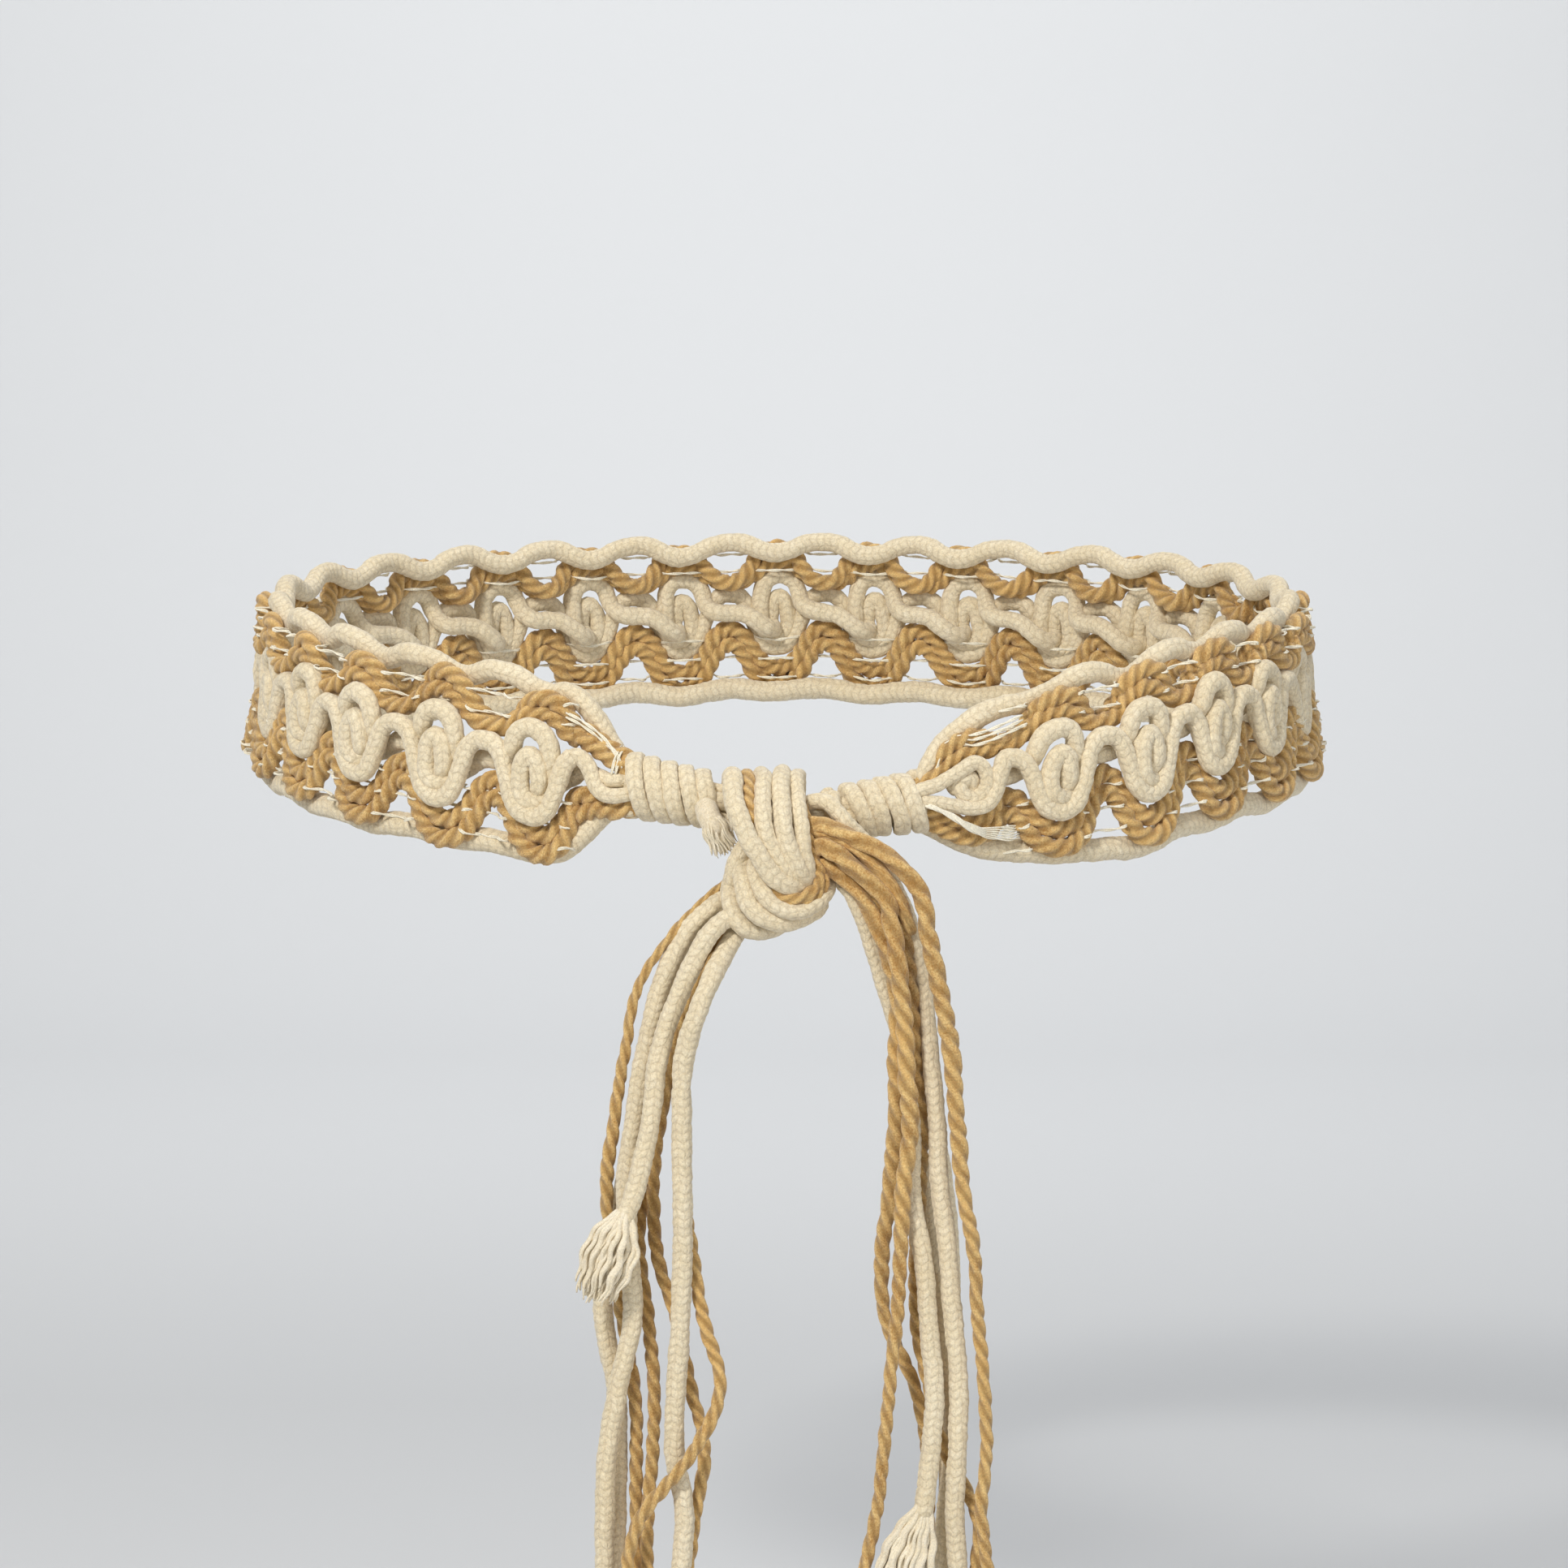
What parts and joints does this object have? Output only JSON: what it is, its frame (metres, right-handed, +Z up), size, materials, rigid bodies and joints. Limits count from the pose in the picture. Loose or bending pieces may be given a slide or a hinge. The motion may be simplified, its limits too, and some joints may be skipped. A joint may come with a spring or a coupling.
{
  "type": "corded macrame tie belt",
  "caption": "Openwork waist belt of cream braided and golden tan twisted cotton cord, with whipped necks, a half knot in front and long free cord ends.",
  "frame": {"origin": "middle of the waist hollow, where the wearer's waist passes through, at about the mean height of the band's middle line round the waist", "axes": "+X to the viewer's right when facing the knot, +Y towards the wearer's back, +Z up"},
  "size_m": [0.2703, 0.2284, 0.2404],
  "materials": {
    "cream_braided_cord": "matte braided cotton, cream",
    "tan_twisted_cord": "soft-sheen twisted cord, golden tan",
    "cream_frayed_fibre": "loose frayed cotton fibre, cream",
    "ivory_thread": "thin doubled cotton thread, ivory"
  },
  "bodies": {
    "root": {"edge_cord_top": "cream_braided_cord", "edge_cord_bottom": "cream_braided_cord", "tan_zigzag_top": "tan_twisted_cord", "tan_zigzag_bottom": "tan_twisted_cord", "cream_meander": "cream_braided_cord", "cream_knots": "cream_braided_cord", "neck_wrap_left": "cream_braided_cord", "neck_wrap_right": "cream_braided_cord", "knot_through": "cream_braided_cord", "knot_wrap": "cream_braided_cord", "knot_loop": "cream_braided_cord", "binding_end": "cream_frayed_fibre", "tail_left_cream_1": "cream_braided_cord", "tail_left_cream_2": "cream_braided_cord", "tail_left_cream_3": "cream_braided_cord", "tail_left_cream_4": "cream_braided_cord", "tail_left_tan_1": "tan_twisted_cord", "tail_left_tan_2": "tan_twisted_cord", "tail_left_tan_3": "tan_twisted_cord", "tail_left_tan_4": "tan_twisted_cord", "tail_right_cream_1": "cream_braided_cord", "tail_right_cream_2": "cream_braided_cord", "tail_right_cream_3": "cream_braided_cord", "tail_right_cream_4": "cream_braided_cord", "tail_right_tan_1": "tan_twisted_cord", "tail_right_tan_2": "tan_twisted_cord", "tail_right_tan_3": "tan_twisted_cord", "tail_right_tan_4": "tan_twisted_cord", "fray_left_cream_1": "cream_frayed_fibre", "fray_right_cream_1": "cream_frayed_fibre"}
  },
  "joints": []
}
